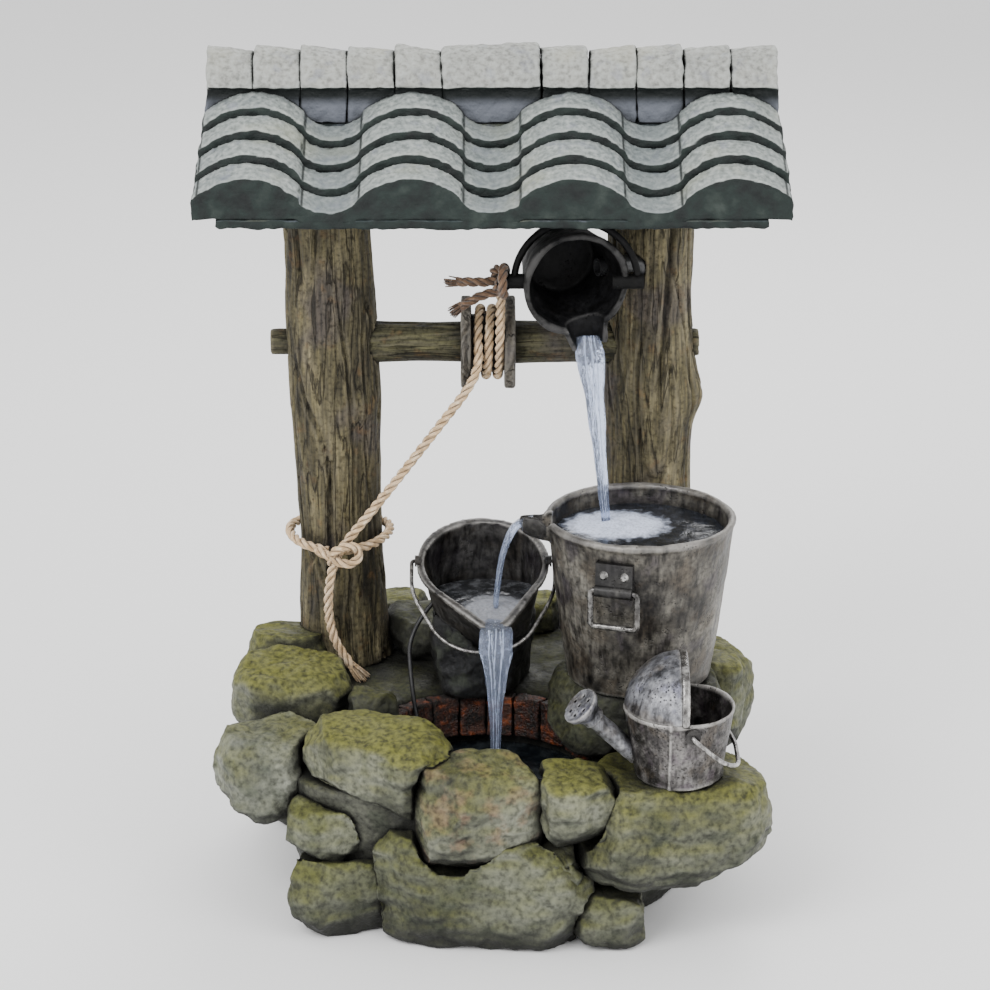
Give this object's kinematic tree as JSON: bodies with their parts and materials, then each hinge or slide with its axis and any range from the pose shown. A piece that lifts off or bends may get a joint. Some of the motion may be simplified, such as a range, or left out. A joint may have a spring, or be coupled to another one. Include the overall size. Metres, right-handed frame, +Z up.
{
  "type": "wishing well fountain",
  "caption": "Garden fountain as a wishing well: rock basin, two log posts with a tiled gable roof, a roped windlass and vessels that pour from one into the next.",
  "frame": {"origin": "on the ground, under the middle of the outline", "axes": "+Z up, -Y towards the side the pot and the basin face, +X to the right seen from there"},
  "size_m": [0.412, 0.347, 0.6064],
  "materials": {
    "rock": "rough weathered rock with moss",
    "brick": "rough fired brick",
    "log": "bark-stripped log with grain and cracks",
    "timber": "weathered wood",
    "roof_board": "dark painted wood",
    "roof_tile": "weathered tile, dark at the steps",
    "rope": "twisted natural fibre",
    "black_iron": "blackened, worn bright at the rim",
    "pewter": "antique pewter, worn at the edges",
    "wire": "dull bright wire",
    "pump_plastic": "matte",
    "lens": "clear",
    "black_rubber": "matte",
    "clear_hose": "soft, slightly glossy"
  },
  "bodies": {
    "well": {"back_tile_courses": "roof_tile", "base_casting": "rock", "bucket_handle_bracket": "pewter", "bucket_rivets": "wire", "bucket_stone": "rock", "cable_grommet": "black_rubber", "can_band": "pewter", "can_body": "pewter", "can_ears": "pewter", "can_hood": "pewter", "can_rose": "pewter", "can_spout": "pewter", "front_foot_stones": "rock", "front_tile_courses": "roof_tile", "lamp_bodies": "pump_plastic", "lamp_lead": "black_rubber", "lamp_lenses": "lens", "ledge_stones": "rock", "left_post": "log", "pool_bricks": "brick", "pot_bail": "black_iron", "pot_ears": "black_iron", "pot_saddle": "black_iron", "pump_cover": "pump_plastic", "pump_feet": "black_rubber", "pump_housing": "pump_plastic", "pump_strainer": "pump_plastic", "rear_foot_stones": "rock", "rear_rim_stones": "rock", "ridge_caps": "roof_tile", "right_post": "log", "rim_stone_front": "rock", "rim_stone_front_left": "rock", "rim_stone_front_right": "rock", "rim_stone_left": "rock", "rim_stone_left_rear": "rock", "rim_stone_right": "rock", "rim_stone_right_rear": "rock", "riser_hose": "clear_hose", "roof_shell": "roof_board", "rope_post_loop": "rope", "rope_tie_ends": "rope", "rope_tie_loop": "rope", "scuttle": "pewter", "scuttle_ears": "pewter", "scuttle_stone": "rock", "spool_discs": "timber", "spool_hub": "timber", "tall_bucket": "pewter", "upper_pot": "black_iron", "well_rope": "rope", "windlass_axle": "timber"},
    "drop_handle": {"bucket_handle": "wire"},
    "scuttle_wire": {"scuttle_bail": "wire"},
    "can_wire": {"can_bail": "wire"},
    "impeller": {"pump_impeller": "pump_plastic"},
    "dial": {"pump_flow_dial": "pump_plastic"}
  },
  "joints": [
    {"name": "bucket_handle_swing", "type": "hinge", "parent": "well", "child": "drop_handle", "pos_m": [0.08579, -0.09629, 0.252], "axis": [-0.9511, 0.309, 0], "range_deg": [0, 140]},
    {"name": "scuttle_bail_swing", "type": "hinge", "parent": "well", "child": "scuttle_wire", "pos_m": [-0.0065, 0.006, 0.236], "axis": [-1, 0, 0], "range_deg": [0, 24]},
    {"name": "can_bail_swing", "type": "hinge", "parent": "well", "child": "can_wire", "pos_m": [0.139, -0.1263, 0.1728], "axis": [0, -1, 0], "range_deg": [0, 100]},
    {"name": "impeller_spin", "type": "hinge", "parent": "well", "child": "impeller", "pos_m": [-0.046, -0.062, 0.0622], "axis": [0, 1, 0], "continuous": true},
    {"name": "flow_dial_turn", "type": "hinge", "parent": "well", "child": "dial", "pos_m": [-0.046, -0.048, 0.085], "axis": [0, 0, 1], "range_deg": [0, 90]}
  ]
}
